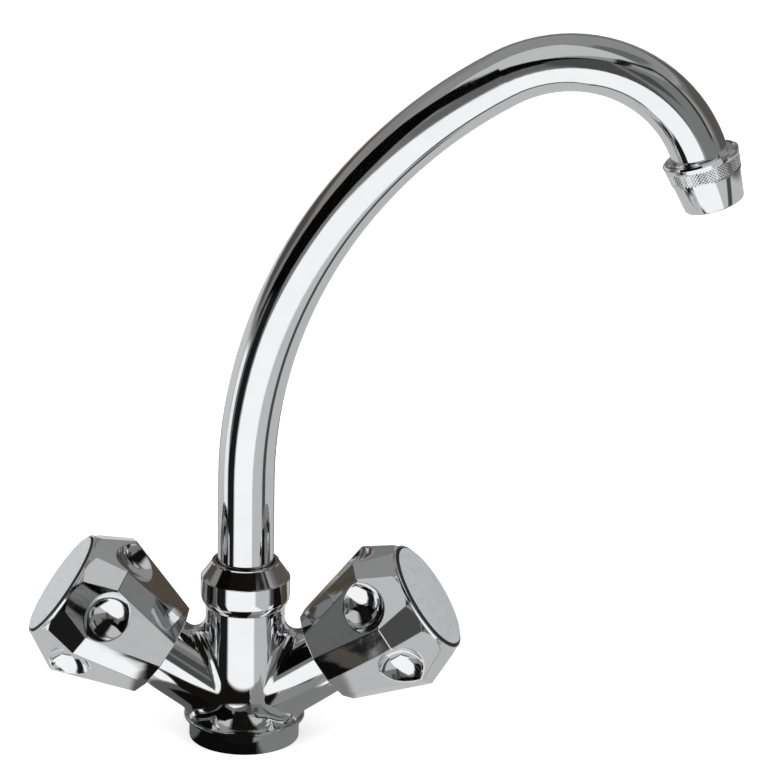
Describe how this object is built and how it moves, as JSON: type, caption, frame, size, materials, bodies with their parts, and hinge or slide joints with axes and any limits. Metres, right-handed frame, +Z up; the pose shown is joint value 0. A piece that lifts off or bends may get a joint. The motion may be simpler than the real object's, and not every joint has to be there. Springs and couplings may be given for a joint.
{
  "type": "basin mixer tap",
  "caption": "Single-hole mixer tap with faceted hot and cold handles on angled arms and a tall swivelling swan-neck spout with an aerator.",
  "frame": {"origin": "centre of the base's underside, where the mixer sits on the basin", "axes": "+Z up along the column and the spout's swivel axis, -Y to the user, +X to the user's right; the spout is stored swung 7 degrees back from +X, as the picture shows it"},
  "size_m": [0.2237, 0.0571, 0.2328],
  "materials": {
    "chrome": "mirror-bright plating",
    "satin_cap": "satin, pale grey with a hint of blue",
    "brass": "turned, unplated",
    "steel": "plain stainless",
    "rubber": "matt black",
    "fibre": "red-brown fibre",
    "acetal": "off-white moulding"
  },
  "bodies": {
    "body": {"mixer_body": "chrome", "base_seal": "rubber", "spout_nut": "chrome", "spout_bearing_ring": "acetal", "spout_slip_ring": "acetal", "left_headwork_body": "brass", "left_headwork_gasket": "fibre", "right_headwork_body": "brass", "right_headwork_gasket": "fibre"},
    "spout": {"spout_tube": "chrome", "spout_spigot": "brass", "spout_o_rings": "rubber", "outlet_fitting": "chrome", "aerator_housing": "chrome", "aerator_washer": "rubber", "aerator_insert": "acetal", "aerator_screens": "steel"},
    "left_handle": {"left_knob": "chrome", "left_knob_cap": "satin_cap", "left_knob_screw": "steel", "left_spindle": "brass", "left_spindle_o_rings": "rubber", "left_circlip": "steel"},
    "left_valve": {"left_valve_carrier": "brass", "left_seat_washer": "rubber", "left_washer_screw": "steel"},
    "right_handle": {"right_knob": "chrome", "right_knob_cap": "satin_cap", "right_knob_screw": "steel", "right_spindle": "brass", "right_spindle_o_rings": "rubber", "right_circlip": "steel"},
    "right_valve": {"right_valve_carrier": "brass", "right_seat_washer": "rubber", "right_washer_screw": "steel"}
  },
  "joints": [
    {"name": "spout_swivel", "type": "hinge", "parent": "body", "child": "spout", "pos_m": [0, 0, 0.0465], "axis": [0, 0, 1], "continuous": true},
    {"name": "left_handle_turn", "type": "hinge", "parent": "body", "child": "left_handle", "pos_m": [0, 0.0014, 0.01], "axis": [-0.8173, -0.0679, 0.5721], "range_deg": [0, 720]},
    {"name": "left_valve_lift", "type": "slide", "parent": "body", "child": "left_valve", "axis": [-0.8173, -0.0679, 0.5721], "range_m": [0, 0.005]},
    {"name": "right_handle_turn", "type": "hinge", "parent": "body", "child": "right_handle", "pos_m": [0, 0.0014, 0.01], "axis": [0.8173, -0.0679, 0.5721], "range_deg": [0, 720]},
    {"name": "right_valve_lift", "type": "slide", "parent": "body", "child": "right_valve", "axis": [0.8173, -0.0679, 0.5721], "range_m": [0, 0.005]}
  ],
  "couplings": [
    {"joint": "left_valve_lift", "follows": "left_handle_turn", "m_per_rad": 0.00039789},
    {"joint": "right_valve_lift", "follows": "right_handle_turn", "m_per_rad": 0.00039789}
  ]
}
